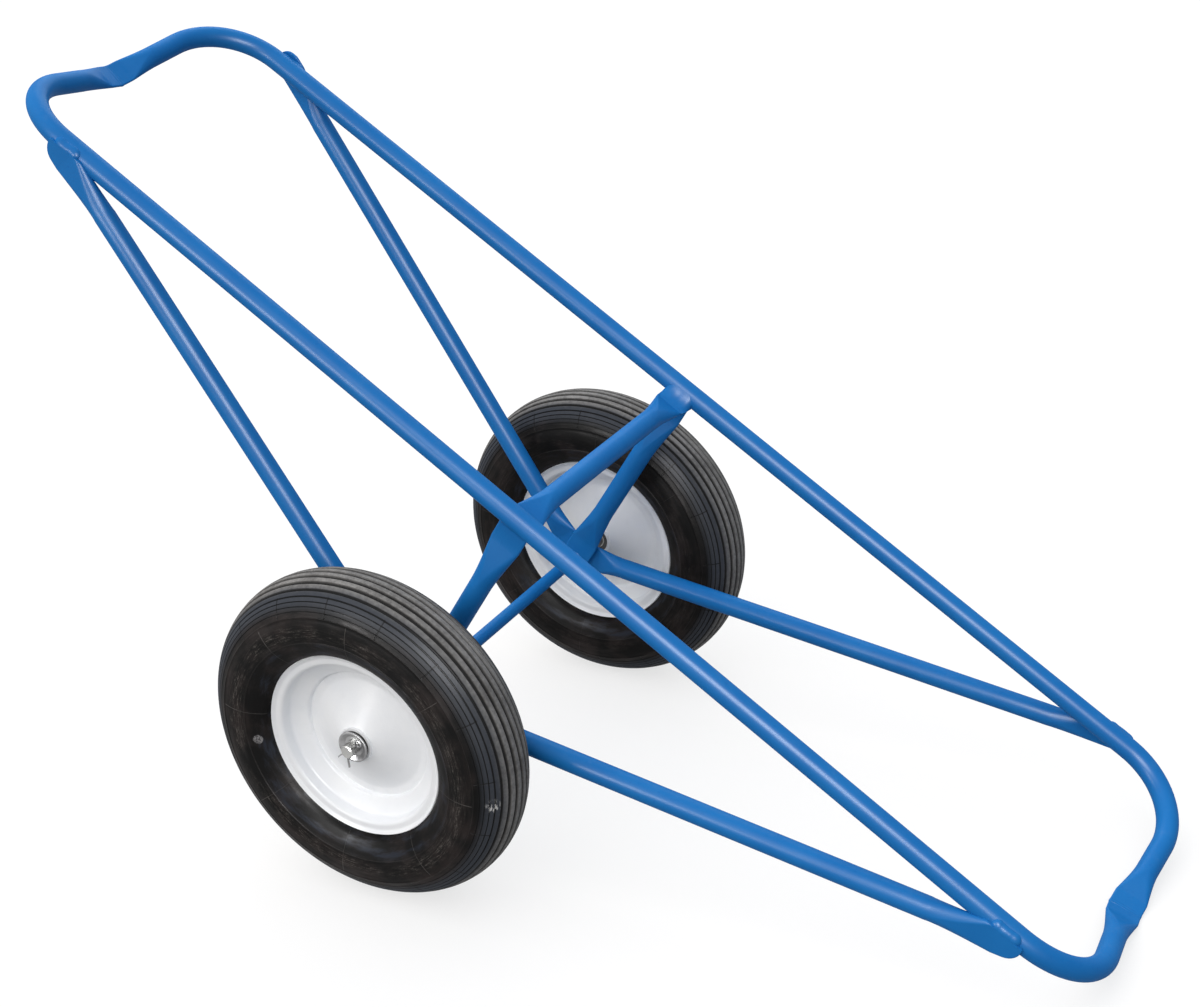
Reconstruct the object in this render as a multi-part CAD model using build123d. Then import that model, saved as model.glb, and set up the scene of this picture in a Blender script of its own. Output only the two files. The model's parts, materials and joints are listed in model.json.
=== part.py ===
from build123d import *
import os
from math import asin, atan2, cos, degrees, hypot, pi, radians, sin, sqrt

# Carpet dolly: a long open cradle of bent steel tube over two pneumatic wheels on one axle.
# Drawn level, axle centre at the origin, X along the rails, Y along the axle, Z up.
# The finished pieces are then tipped as the dolly stands: on both tyres and the rear end bar.

# Driving dimensions, millimetres and degrees

# Frame tube
tube_od = 25.4
tube_wall = 1.65
press_start = 0.3           # slope of a run-out where it leaves the round tube, against its mean slope
press_end = 1.2             # and where it meets the pressed end

# Side rails and end bars
rail_gauge = 386.6          # between the centres of the two rails
rail_rise = 312.0           # rail centres over the axle centre
frame_half = 759.0          # axle centre to the centre of an end bar
corner_radius = 89.0
end_dip = 35.0              # how far each end bar drops at its middle
kink_flat = 19.0            # pressed length of each half of an end bar
kink_run = 44.0             # length over which the round tube runs out to it
kink_tilt = 12.0            # turn of the pressed faces, outer edge up
front_kink_width = 32.0     # the front end bar is pinched in to this width

# Braces
brace_splay = 203.5         # a brace's axis runs out from its foot to here, at the head
brace_aim = 6.0             # height over the axle centre that a brace's axis points at
brace_head_x = 658.0        # centre of the brace's rounded head, along the rail
brace_head_drop = 4.0       # and below the rail centre
brace_head_top = 3.0        # heads are trimmed this far over the rail centre
far_head_top = 14.0         # but the front right one stands higher
brace_head_flat = 12.0      # pressed length before the head's centre
brace_head_run = 72.0
brace_foot_flat = 30.0      # pressed length before the axle
brace_foot_run = 40.0

# Centre hoop
hoop_gauge = 376.0          # between the centre planes of the two legs
hoop_fold = 6.0             # radius of the pressed corner, at its middle
hoop_leg_flat = 26.0        # pressed length below a corner
hoop_leg_run = 66.0
hoop_bar_flat = 18.0        # pressed length beside a corner
hoop_bar_run = 48.0
hoop_foot_flat = 34.0       # pressed length above the axle
hoop_foot_run = 60.0

# Axle and its hardware
axle_dia = 15.875
axle_play = 0.15            # radial room of the axle in the pressed feet
axle_chamfer = 1.2
axle_stub = 10.0            # axle left past the split pin
washer_od = 38.0
washer_thick = 2.0
washer_dish = 3.4           # height of the washer's raised rim
washer_flat = 13.0          # radius of the washer's flat middle
washer_play = 0.3           # radial room of washers and spacers on the axle
spacer_od = 21.3
pin_dia = 3.5
pin_hole_play = 0.2         # radial room of the split pin in its hole
pin_eye = 3.3               # centre radius of the split pin's eye
pin_leg = 17.0              # leg length past the axle
pin_spread = 48.0           # turn of the leg that is bent over
pin_ease = 8.0              # turn of the other leg
pin_turn = 18.0             # the pin's own turn about the axle

# Wheels
wheel_track = 548.0         # between the wheels' middle planes
tyre_od = 402.0
tyre_width = 101.0
tread_thick = 9.0
sidewall_thick = 6.0
groove_width = 2.6
groove_depth = 3.0
groove_pitch = 11.5         # turn about the tyre's section from one groove to the next
groove_count = 9
rim_sheet = 1.8
rim_lip_radius = 114.3
rim_lip_half = 33.0         # lip's outer edge from the wheel's middle plane
rim_flange_half = 28.9      # middle of the flange wall
bead_seat_radius = 101.6
bead_width = 10.5
bead_heel = 3.2             # bevel on the bead's outer corner
bead_ledge_half = 15.0      # inner edge of the bead ledge
well_radius = 82.0
well_half = 6.0
disc_flat_radius = 70.0     # the two halves lie together from the well to here
hub_half = 27.8
hub_od = 38.1
hub_wall = 1.6
bearing_width = 11.0
bearing_recess = 1.5
bearing_ring = 3.2          # radial thickness of the bearing's inner and outer rings
seal_recess = 0.6
tube_rubber = 2.0
valve_dia = 8.0
valve_length = 20.0         # stem past the rim
valve_cap_dia = 10.5
valve_cap_length = 9.0
valve_thread_dia = 7.7
valve_turn = 200.0          # place of the valve round the wheel

# Welds
bead_weld = 6.0             # radius of the beads at the brace heads
hoop_weld = 4.0
seam_weld = 1.0             # height of the seams at the end bars
seam_width = 6.0
ring_weld = 4.0             # leg of the rings at the axle

# Fits
seat_gap = 0.3              # between pieces that turn against each other
running_play = 0.05         # radial play of the axle in a bearing
fit_gap = 0.1               # between pieces that are pressed or seated
bead_gap = 0.35             # between tyre and rim

# Worked out from the above
tube_r = tube_od / 2
pressed_thick = 2 * tube_wall
pressed_width = pi * (tube_od - pressed_thick) / 2 + pressed_thick
rail_y = rail_gauge / 2
axle_r = axle_dia / 2
leg_y = hoop_gauge / 2
wheel_y = wheel_track / 2
wheel_r = tyre_od / 2
hub_r = hub_od / 2
bearing_r = hub_r - hub_wall

stack_y = [leg_y + pressed_thick, leg_y + 2 * pressed_thick]      # front and rear brace feet
stack_end = leg_y + 2.5 * pressed_thick
head_y = rail_y + tube_r + pressed_thick / 2
hub_inner_y = wheel_y - hub_half
washer_y = wheel_y + hub_half + seat_gap
pin_y = washer_y + washer_thick + washer_dish + seat_gap + pin_dia / 2
axle_half = pin_y + axle_stub

# The hoop's folded corners nestle under the rails from inside.
fold_out = hoop_fold + pressed_thick / 2
hoop_top = rail_rise - sqrt((tube_r + fold_out) ** 2 - (rail_y - leg_y + hoop_fold) ** 2) + hoop_fold

# The dolly tips about its axle until the rear end bar's seam meets the floor.
kink_z = rail_rise - end_dip
edge_reach = (pressed_width - pressed_thick) / 2
edge_x = frame_half + edge_reach * cos(radians(kink_tilt))
edge_z = kink_z + edge_reach * sin(radians(kink_tilt))
tip_reach = wheel_r - pressed_thick / 2 - seam_weld
tip = degrees(atan2(edge_z, edge_x) + asin(tip_reach / hypot(edge_x, edge_z)))


def tube_section(plane, height, width=None):
    """Outline of the tube pressed to a height; its length round the wall stays, unless a width is given."""
    half = height / 2
    run = pi * (tube_od - height) / 4 if width is None else (width - height) / 2
    if height == tube_od:
        run = tube_r * sin(radians(2))
    rise = sqrt(tube_r**2 - run**2) if height == tube_od else half
    end = tube_r if height == tube_od else run + half
    upper = Line((-run, rise), (run, rise))
    lower = Line((run, -rise), (-run, -rise))
    if height == tube_od:
        upper = ThreePointArc((-run, rise), (0, half), (run, rise))
        lower = ThreePointArc((run, -rise), (0, -half), (-run, -rise))
    right = ThreePointArc((run, rise), (end, 0), (run, -rise))
    left = ThreePointArc((-run, -rise), (-end, 0), (-run, rise))
    return plane * make_face([upper, right, lower, left])


def axis_plane(start, along, across, distance, shift=(0, 0, 0)):
    """Plane across an axis, at a distance from its start; its X runs across the pressed faces."""
    origin = Vector(*start) + Vector(*along).normalized() * distance + Vector(*shift)
    return Plane(origin=origin, x_dir=Vector(*across), z_dir=Vector(*along))


def press_ease(place):
    """Share of the pressing done at a place along a run-out, from 0 at the round tube to 1."""
    square = 3 - 2 * press_start - press_end
    cube = press_start + press_end - 2
    return press_start * place + square * place**2 + cube * place**3


def press_out(start, along, across, run, width=None, lean=0, shift=0, steps=4):
    """Run-out from the round tube to a pressed section; lean moves it out evenly, shift as it is pressed."""
    sections = [tube_section(axis_plane(start, along, across, 0), tube_od)]
    for step in range(1, steps + 1):
        ease = press_ease(step / steps)
        height = tube_od + (pressed_thick - tube_od) * ease
        wide = None if width is None else tube_od + (width - tube_od) * ease
        move = (0, lean * step / steps + shift * ease, 0)
        plane = axis_plane(start, along, across, run * step / steps, move)
        sections.append(tube_section(plane, height, wide))
    return loft(sections)


def pressed_strip(start, along, across, length, width=None):
    """Straight pressed length of tube."""
    return extrude(tube_section(axis_plane(start, along, across, 0), pressed_thick, width), length)


def rounded_strip(start, along, across, length):
    """Pressed length of tube with a round end, whose centre is at the given length."""
    end_r = pressed_width / 2
    strip = pressed_strip(start, along, across, length + end_r)
    centre = Vector(*start) + Vector(*along).normalized() * length
    normal = Vector(*along).cross(Vector(*across))
    face = Plane(origin=centre, x_dir=Vector(*along), z_dir=normal)
    outline = Pos(-(length + end_r) / 2, 0) * Rectangle(length + end_r, 2 * end_r) + Circle(end_r)
    return strip & extrude(face * outline, pressed_thick, both=True)


def bar(start, end, radius):
    """Round bar between two points."""
    along = Vector(*end) - Vector(*start)
    return extrude(Plane(origin=start, z_dir=along) * Circle(radius), along.length)


def capsule(start, end, radius):
    """Round bar with domed ends."""
    return bar(start, end, radius) + Pos(*start) * Sphere(radius) + Pos(*end) * Sphere(radius)


def turned(profile):
    """Solid of revolution about the axle from a profile drawn as (radius, place along the axle)."""
    return revolve(profile, Axis.Y, 360)


def ring(inner, outer, low, high):
    """Plain ring about the axle."""
    return turned(Pos((inner + outer) / 2, (low + high) / 2) * Rectangle(outer - inner, high - low))


def mirrored(solid):
    return mirror(solid, about=Plane.XZ)


def make_side_rail():
    """Right rail with half of each end bar: bent twice, pressed flat at the middle of each end bar."""
    slope = atan2(end_dip, rail_y)
    down_bar = Vector(0, -cos(slope), -sin(slope))
    upright = Vector(0, -sin(slope), cos(slope))
    bar_length = rail_y / cos(slope)
    round_end = bar_length - kink_flat - kink_run
    ends = []
    for side in (-1, 1):
        corner = Vector(side * frame_half, rail_y, rail_rise)
        across = Vector(cos(radians(kink_tilt)), 0, 0) + upright * side * sin(radians(kink_tilt))
        width = front_kink_width if side < 0 else pressed_width
        ends.append((corner, corner + down_bar * round_end, across, width))
    points = [ends[0][1], ends[0][0], ends[1][0], ends[1][1]]
    path = FilletPolyline(*points, radius=corner_radius)
    start = Plane(origin=points[0], z_dir=path % 0)
    rail = sweep(start * Circle(tube_r), path)
    along = tuple(down_bar)
    for corner, end, across, width in ends:
        rail += press_out(tuple(end), along, tuple(across), kink_run, width=width)
        flat_start = tuple(end + down_bar * kink_run)
        rail += pressed_strip(flat_start, along, tuple(across), kink_flat + pressed_width, width)
    rail -= sweep(start * Circle(tube_r - tube_wall), path)
    return split(rail, Plane.XZ, keep=Keep.BOTTOM)


def make_brace(side, foot_y, head_top):
    """Right brace, front or rear: a straight tube with a pressed foot on the axle and a pressed head."""
    head = Vector(side * brace_head_x, 0, rail_rise - brace_head_drop)
    foot = Vector(0, 0, brace_aim)
    up = (head - foot).normalized()
    across = tuple(Vector(-up.Z, 0, up.X))
    length = (head - foot).length
    slope = (brace_splay - foot_y) / (length - brace_foot_flat - brace_head_flat)
    low_place = brace_foot_flat + brace_foot_run
    high_place = length - brace_head_flat - brace_head_run
    low = foot + up * low_place + Vector(0, foot_y + slope * brace_foot_run, 0)
    high = foot + up * high_place + Vector(0, brace_splay - slope * brace_head_run, 0)

    tube_start = axis_plane(tuple(low), tuple(up), across, 0)
    reach = (high - low).length
    brace = extrude(tube_section(tube_start, tube_od), reach, dir=high - low)
    head_lean = slope * brace_head_run
    foot_lean = -slope * brace_foot_run
    head_shift = head_y - brace_splay
    brace += press_out(tuple(high), tuple(up), across, brace_head_run, lean=head_lean, shift=head_shift)
    brace += press_out(tuple(low), tuple(-up), across, brace_foot_run, lean=foot_lean)
    head_start = foot + up * (length - brace_head_flat) + Vector(0, head_y, 0)
    foot_start = foot + up * brace_foot_flat + Vector(0, foot_y, 0)
    brace += rounded_strip(tuple(head_start), tuple(up), across, brace_head_flat)
    brace += rounded_strip(tuple(foot_start), tuple(-up), across, brace_foot_flat)
    trim = Pos(head.X, head_y, rail_rise + head_top + pressed_width)
    brace -= trim * Box(4 * pressed_width, tube_od, 2 * pressed_width)
    brace -= bar((0, 0, 0), (0, wheel_y, 0), axle_r + axle_play)
    brace -= rail_core(fit_gap)
    return brace - extrude(tube_start * Circle(tube_r - tube_wall), reach, dir=high - low)


def make_center_hoop():
    """One tube bent to an upside-down U: pressed at its two corners under the rails and at its two feet."""
    wide = (1, 0, 0)
    leg_top = hoop_top - hoop_fold
    leg_high = leg_top - hoop_leg_flat - hoop_leg_run
    leg_low = hoop_foot_flat + hoop_foot_run
    bar_end = leg_y - hoop_fold - hoop_bar_flat - hoop_bar_run

    half = bar((0, leg_y, leg_low), (0, leg_y, leg_high), tube_r)
    half += press_out((0, leg_y, leg_low), (0, 0, -1), wide, hoop_foot_run)
    half += rounded_strip((0, leg_y, hoop_foot_flat), (0, 0, -1), wide, hoop_foot_flat)
    half += press_out((0, leg_y, leg_high), (0, 0, 1), wide, hoop_leg_run)
    half += pressed_strip((0, leg_y, leg_top - hoop_leg_flat), (0, 0, 1), wide, hoop_leg_flat)
    fold_start = tube_section(axis_plane((0, leg_y, leg_top), (0, 0, 1), wide, 0), pressed_thick)
    half += revolve(fold_start, Axis((0, leg_y - hoop_fold, leg_top), (1, 0, 0)), 90)
    half += pressed_strip((0, bar_end + hoop_bar_run, hoop_top), (0, 1, 0), wide, hoop_bar_flat)
    half += press_out((0, bar_end, hoop_top), (0, 1, 0), wide, hoop_bar_run)
    half -= bar((0, 0, 0), (0, wheel_y, 0), axle_r + axle_play)
    half -= bar((0, leg_y, leg_low), (0, leg_y, leg_high), tube_r - tube_wall)

    cross = bar((0, -bar_end, hoop_top), (0, bar_end, hoop_top), tube_r)
    cross -= bar((0, -bar_end, hoop_top), (0, bar_end, hoop_top), tube_r - tube_wall)
    return half + cross + mirrored(half)


def make_axle():
    """Solid axle with a split pin hole at each end."""
    axle = ring(0, axle_r, -axle_half, axle_half)
    axle = chamfer(axle.edges().filter_by(GeomType.CIRCLE), axle_chamfer)
    for side in (-1, 1):
        hole = Rot(0, pin_turn, 0) * bar((0, 0, -axle_dia), (0, 0, axle_dia), pin_dia / 2 + pin_hole_play)
        axle -= Pos(0, side * pin_y, 0) * hole
    return axle


def make_washer():
    """Dished washer: a flat middle against the hub and a rim raised outwards."""
    face = washer_y + washer_thick
    outer = washer_od / 2
    corners = [
        (axle_r + washer_play, washer_y),
        (washer_flat, washer_y),
        (outer, washer_y + washer_dish),
        (outer, face + washer_dish),
        (outer - washer_thick, face + washer_dish),
        (washer_flat - washer_thick / 2, face),
        (axle_r + washer_play, face),
    ]
    washer = turned(make_face(Polyline(*corners, close=True)))
    rims = washer.edges().filter_by(GeomType.CIRCLE).group_by(SortBy.RADIUS)[-1]
    return fillet(rims.sort_by(Axis.Y)[-1], washer_thick / 4)


def make_spacer():
    """Sleeve from the brace feet to the inner bearing."""
    bearing_face = hub_inner_y + bearing_recess
    return ring(axle_r + washer_play, spacer_od / 2, stack_end + fit_gap, bearing_face - seat_gap)


def make_split_pin():
    """Split pin: a round shank, two half-round legs below the axle, one bent over, and an eye above it."""
    half_wire = Pos(pin_dia / 2 + fit_gap, 0) * Rectangle(pin_dia, pin_dia) & Circle(pin_dia / 2)
    eye_z = axle_r + pin_hole_play + pin_eye + pin_dia / 2
    bend_z = -axle_r - pin_hole_play
    bend_radius = pin_dia
    pin = bar((0, 0, bend_z), (0, 0, eye_z - pin_eye), pin_dia / 2)
    pin += Pos(0, 0, eye_z) * Rot(90, 0, 0) * Torus(pin_eye, pin_dia / 2)
    turn = Axis((bend_radius + pin_dia / 2, 0, bend_z), (0, 1, 0))
    legs = []
    for spread in (pin_spread, pin_ease):
        leg = revolve(Pos(0, 0, bend_z) * half_wire, turn, -spread)
        end = leg.faces().sort_by(Axis.Z)[0]
        legs.append(leg + extrude(end, pin_leg - bend_radius * sin(radians(spread))))
    pin += [legs[0], mirror(legs[1], about=Plane.YZ)]
    return Pos(0, pin_y, 0) * Rot(0, pin_turn, 0) * pin


def section_point(radius, angle):
    """Point of a circle about the tyre section's centre, its angle measured from the crown."""
    centre = wheel_r - tyre_width / 2
    return (centre + radius * cos(radians(angle)), radius * sin(radians(angle)))


def make_tyre():
    """Ribbed tyre, open towards the rim, about the wheel's own middle plane."""
    centre = wheel_r - tyre_width / 2
    outer = Pos(centre, 0) * Circle(tyre_width / 2)
    cavity_high = tyre_width / 2 - tread_thick
    cavity_wide = tyre_width / 2 - sidewall_thick
    cavity = Pos(centre, 0) * Ellipse(cavity_high, cavity_wide)
    section = outer - cavity
    lip_clear = rim_lip_radius + 2 * rim_sheet
    section -= Pos(lip_clear / 2, 0) * Rectangle(lip_clear, 2 * tyre_width)
    outer_foot = sqrt((tyre_width / 2) ** 2 - (centre - lip_clear) ** 2)
    inner_foot = cavity_wide * sqrt(1 - ((centre - lip_clear) / cavity_high) ** 2)
    bead_face = rim_flange_half - rim_sheet / 2 - bead_gap
    seat = bead_seat_radius + bead_gap
    for side in (-1, 1):
        corners = [
            (lip_clear, side * inner_foot),
            (lip_clear, side * outer_foot),
            (lip_clear - rim_sheet, side * (bead_face + rim_sheet)),
            (rim_lip_radius - 2 * rim_sheet, side * bead_face),
            (seat + bead_heel, side * bead_face),
            (seat, side * (bead_face - bead_heel)),
            (seat, side * (bead_face - bead_width)),
        ]
        section += make_face(Polyline(*corners, close=True))
    first = -groove_pitch * (groove_count - 1) / 2
    for number in range(groove_count):
        angle = first + number * groove_pitch
        place = Pos(*section_point(tyre_width / 2, angle)) * Rot(0, 0, angle)
        section -= place * Rectangle(2 * groove_depth, groove_width)
    return turned(section)


def make_rim_half():
    """Outer rim half: lip, flange, bead ledge, half of the well, and the disc rising to the hub."""
    seat = bead_seat_radius - rim_sheet / 2
    collar = hub_r + fit_gap + rim_sheet / 2
    disc_base = fit_gap / 2 + rim_sheet / 2
    points = [
        (rim_lip_radius - rim_sheet / 2, rim_lip_half - rim_sheet / 2),
        (rim_lip_radius - 3 * rim_sheet, rim_flange_half),
        (seat, rim_flange_half),
        (seat - rim_sheet / 2, bead_ledge_half),
        (well_radius - rim_sheet / 2, well_half),
        (well_radius - rim_sheet, disc_base),
        (disc_flat_radius, disc_base),
        (collar, hub_half - 2 * rim_sheet),
        (collar, hub_half),
    ]
    bends = [3, 2, 3, 2, 1, 6, 1]
    path = FilletPolyline(*points, radius=[bend * rim_sheet for bend in bends])
    return turned(trace(path, rim_sheet))


def make_valve():
    """Valve stem and cap, square to the side of the inner rim half's well."""
    ledge = Vector(bead_seat_radius - rim_sheet, -bead_ledge_half)
    well = Vector(well_radius - rim_sheet / 2, -well_half)
    slant = (ledge - well).normalized()
    foot = (ledge + well) / 2
    out = Vector(slant.Y, -slant.X)
    base = foot - out * (rim_sheet / 2)
    shoulder = foot + out * (valve_length - valve_cap_length)
    tip_end = foot + out * valve_length
    stem = bar(tuple(base), tuple(shoulder), valve_dia / 2)
    stem += bar(tuple(shoulder), tuple(tip_end), valve_thread_dia / 2)
    cap_start = shoulder + out * fit_gap
    cap = bar(tuple(cap_start), tuple(tip_end + out * rim_sheet), valve_cap_dia / 2)
    cap -= bar(tuple(cap_start), tuple(tip_end + out * fit_gap), valve_thread_dia / 2 + fit_gap)
    hole = bar(tuple(foot - out * valve_dia), tuple(foot + out * valve_dia), valve_dia / 2 + fit_gap)
    return stem, cap, hole


def air_space(inset):
    """Section of the space inside the tyre and the rim's well, drawn in by an inset."""
    centre = wheel_r - tyre_width / 2
    bead_inner = rim_flange_half - rim_sheet / 2 - bead_gap - bead_width - inset
    high = tyre_width / 2 - tread_thick - inset
    wide = tyre_width / 2 - sidewall_thick - inset
    floor = well_radius + rim_sheet + inset
    ledge_half = bead_ledge_half - rim_sheet - inset
    floor_half = well_half - rim_sheet / 2 - inset
    throat = [
        (centre, -bead_inner),
        (centre, bead_inner),
        (bead_seat_radius, ledge_half),
        (floor, floor_half),
        (floor, -floor_half),
        (bead_seat_radius, -ledge_half),
    ]
    return Pos(centre, 0) * Ellipse(high, wide) + make_face(Polyline(*throat, close=True))


def make_inner_tube():
    """Air tube that fills the tyre down to the rim's well."""
    return turned(air_space(2 * fit_gap)) - turned(air_space(2 * fit_gap + tube_rubber))


def make_hub():
    """Hub tube between the two rim halves, with a bearing seat at each end."""
    return ring(bearing_r + fit_gap / 2, hub_r, -hub_half, hub_half)


def make_bearing():
    """Outer bearing: inner and outer ring with a sunk seal on both faces."""
    bore = axle_r + running_play
    face = hub_half - bearing_recess
    bearing = ring(bore, bearing_r, face - bearing_width, face)
    back = face - bearing_width
    for low, high in ((face - seal_recess, face), (back, back + seal_recess)):
        bearing -= ring(bore + bearing_ring, bearing_r - bearing_ring, low, high)
    return bearing


def rail_core(gap=0):
    """Straight length of the right rail, filled, with a gap round it."""
    return bar((-frame_half, rail_y, rail_rise), (frame_half, rail_y, rail_rise), tube_r + gap)


def make_brace_weld(side):
    """Bead along a brace head's trimmed edge, against the outside of the rail."""
    reach = pressed_width / 2
    top = rail_rise + brace_head_top
    y = head_y + pressed_thick / 2 - bead_weld
    start = (side * (brace_head_x - reach), y, top)
    end = (side * (brace_head_x + reach / 2), y, top)
    bead = capsule(start, end, bead_weld)
    bead -= Pos(side * brace_head_x, y, top - bead_weld) * Box(4 * reach, 4 * bead_weld, 2 * bead_weld)
    return bead - rail_core()


def make_hoop_welds(hoop):
    """Beads in the two hollows between a hoop corner and the rail."""
    reach = pressed_width / 2 - hoop_weld
    inner = (rail_y - tube_r, hoop_top + pressed_thick / 2 + hoop_weld / 4)
    outer = (leg_y + pressed_thick / 2 + hoop_weld / 4, rail_rise - tube_r - hoop_weld / 2)
    beads = []
    for y, z in (inner, outer):
        bead = capsule((-reach, y, z), (reach, y, z), hoop_weld) - hoop - rail_core()
        beads.append(bead.solids().sort_by(SortBy.VOLUME)[-1])
    return beads


def make_seam(side, rails):
    """Raised seam round the joint of the two rails at the middle of an end bar."""
    start = (side * frame_half, -seam_width / 2, kink_z)
    across = (cos(radians(kink_tilt)), 0, side * sin(radians(kink_tilt)))
    width = front_kink_width if side < 0 else pressed_width
    section = tube_section(axis_plane(start, (0, 1, 0), across, 0), pressed_thick, width)
    band = extrude(offset(section, seam_weld), seam_width)
    for rail in rails:
        band -= rail
    return band


def make_axle_weld():
    """Fillet ring between the axle and the inside of a hoop foot."""
    face = leg_y - pressed_thick / 2
    inner = axle_r
    corners = [(inner, face), (inner + ring_weld, face), (inner, face - ring_weld)]
    return turned(make_face(Polyline(*corners, close=True)))


# Frame pieces, level
right_rail = make_side_rail()
rails = {"left": mirrored(right_rail), "right": right_rail}
front_brace = make_brace(-1, stack_y[0], brace_head_top)
front_brace_high = make_brace(-1, stack_y[0], far_head_top)
rear_brace = make_brace(1, stack_y[1], brace_head_top)
center_hoop = make_center_hoop()

level = {"axle": make_axle(), "center_hoop": center_hoop}
for name, rail in rails.items():
    level[f"side_rail_{name}"] = rail
level["front_right_brace"] = front_brace_high
level["front_left_brace"] = mirrored(front_brace)
level["rear_right_brace"] = rear_brace
level["rear_left_brace"] = mirrored(rear_brace)
for name, make in (("washer", make_washer), ("spacer", make_spacer), ("split_pin", make_split_pin)):
    piece = make()
    level[f"{name}_right"] = piece
    level[f"{name}_left"] = mirrored(piece)

front_bead = make_brace_weld(-1)
rear_bead = make_brace_weld(1)
brace_beads = [front_bead - front_brace_high, rear_bead, mirrored(front_bead), mirrored(rear_bead)]
hoop_beads = make_hoop_welds(center_hoop)
axle_ring = make_axle_weld()
level["brace_welds"] = Compound(children=brace_beads)
level["hoop_welds"] = Compound(children=hoop_beads + [mirrored(bead) for bead in hoop_beads])
level["axle_welds"] = Compound(children=[axle_ring, mirrored(axle_ring)])
level["end_bar_seams"] = Compound(children=[make_seam(side, rails.values()) for side in (-1, 1)])

# Wheels, about their own middle plane, then out along the axle
rim_half = make_rim_half()
bearing = make_bearing()
stem, cap, valve_hole = make_valve()
round_wheel = Rot(0, valve_turn, 0)
wheel = {
    "tyre": make_tyre(),
    "inner_tube": make_inner_tube(),
    "rim_outer": rim_half,
    "rim_inner": mirrored(rim_half) - round_wheel * valve_hole,
    "hub": make_hub(),
    "bearing_outer": bearing,
    "bearing_inner": mirrored(bearing),
    "valve_stem": round_wheel * stem,
    "valve_cap": round_wheel * cap,
}
for name, piece in wheel.items():
    level[f"{name}_right"] = Pos(0, wheel_y, 0) * piece
    level[f"{name}_left"] = mirrored(Pos(0, wheel_y, 0) * piece)

# Tipped on to the floor, the origin under the middle of the dolly
tipped = Pos(0, 0, wheel_r) * Rot(0, tip, 0)
spread = (tipped * (rails["left"] + rails["right"])).bounding_box(optimal=True)
standing = Pos(-spread.center().X, 0, 0) * tipped

os.makedirs("parts", exist_ok=True)
for name, piece in level.items():
    export_step(standing * piece, f"parts/{name}.step")

print("tip", round(tip, 3), "axle at", tuple(round(value, 3) for value in standing.position))
print("axle half", round(axle_half, 2), "pin", round(pin_y, 2), "hoop top", round(hoop_top, 2))
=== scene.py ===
import bpy
import bmesh
import json
from math import asin, atan2, ceil, cos, exp, pi, radians, sin, sqrt, tan
from mathutils import Matrix, Vector


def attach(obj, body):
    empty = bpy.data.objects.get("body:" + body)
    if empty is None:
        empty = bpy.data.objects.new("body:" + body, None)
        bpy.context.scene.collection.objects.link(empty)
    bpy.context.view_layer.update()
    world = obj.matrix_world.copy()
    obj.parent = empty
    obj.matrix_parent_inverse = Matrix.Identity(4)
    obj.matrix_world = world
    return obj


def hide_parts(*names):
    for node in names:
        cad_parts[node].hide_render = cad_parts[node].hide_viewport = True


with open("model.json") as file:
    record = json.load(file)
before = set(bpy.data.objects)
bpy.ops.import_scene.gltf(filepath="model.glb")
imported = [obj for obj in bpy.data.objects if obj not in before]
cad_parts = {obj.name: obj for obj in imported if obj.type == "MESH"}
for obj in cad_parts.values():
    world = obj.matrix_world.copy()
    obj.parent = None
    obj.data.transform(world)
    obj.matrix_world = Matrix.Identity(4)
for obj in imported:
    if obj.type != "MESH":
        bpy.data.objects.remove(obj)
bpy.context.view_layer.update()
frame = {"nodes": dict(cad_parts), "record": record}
record = frame["record"]
nodes = frame["nodes"]
print("frame loaded")

# Level frame: millimetres, axle centre at the origin, X along the rails, Y along the axle
axlePoint = record["behaviour"]["joints"][0]["pos_m"]
lean = record["mounts"][0]["axis"]
leanTurn = Matrix.Rotation(atan2(lean[0], lean[2]), 4, "Y")
standing = Matrix.Translation((axlePoint[0], 0, axlePoint[2])) @ leanTurn
toMetres = standing @ Matrix.Scale(0.001, 4)


# Shader graphs
class Wire:
    def __init__(self, tree, socket):
        self.tree = tree
        self.socket = socket

    def add(self, kind, inputs=None, output=0, **settings):
        node = self.tree.nodes.new(kind)
        for name, value in settings.items():
            setattr(node, name, value)
        for key, value in (inputs or {}).items():
            if isinstance(value, Wire):
                self.tree.links.new(value.socket, node.inputs[key])
            else:
                node.inputs[key].default_value = value
        return Wire(self.tree, node.outputs[output])

    def math(self, operation, *others):
        return self.add("ShaderNodeMath", dict(enumerate((self,) + others)), operation=operation)

    def vector(self, operation, *others, output=0):
        inputs = dict(enumerate((self,) + others))
        return self.add("ShaderNodeVectorMath", inputs, output, operation=operation)

    def part(self, place):
        return self.add("ShaderNodeSeparateXYZ", {0: self}, place)

    def __add__(self, other):
        return self.math("ADD", other)

    def __radd__(self, other):
        return self.math("ADD", other)

    def __sub__(self, other):
        return self.math("SUBTRACT", other)

    def __rsub__(self, other):
        return self.add("ShaderNodeMath", {0: other, 1: self}, operation="SUBTRACT")

    def __mul__(self, other):
        return self.math("MULTIPLY", other)

    def between(self, low, high):
        inputs = {"Value": self, "From Min": low, "From Max": high}
        return self.add("ShaderNodeMapRange", inputs, interpolation_type="SMOOTHSTEP")

    def band(self, centre, half, soft):
        return 1.0 - (self - centre).math("ABSOLUTE").between(half, half + soft)

    def noise(self, scale, detail, rough=0.55, stretch=None):
        place = self if stretch is None else self.vector("MULTIPLY", stretch)
        inputs = {"Vector": place, "Scale": scale, "Detail": detail, "Roughness": rough}
        return self.add("ShaderNodeTexNoise", inputs)

    def blend(self, low, high):
        return self.add("ShaderNodeMix", {0: self, 6: low, 7: high}, output=2, data_type="RGBA")


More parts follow.
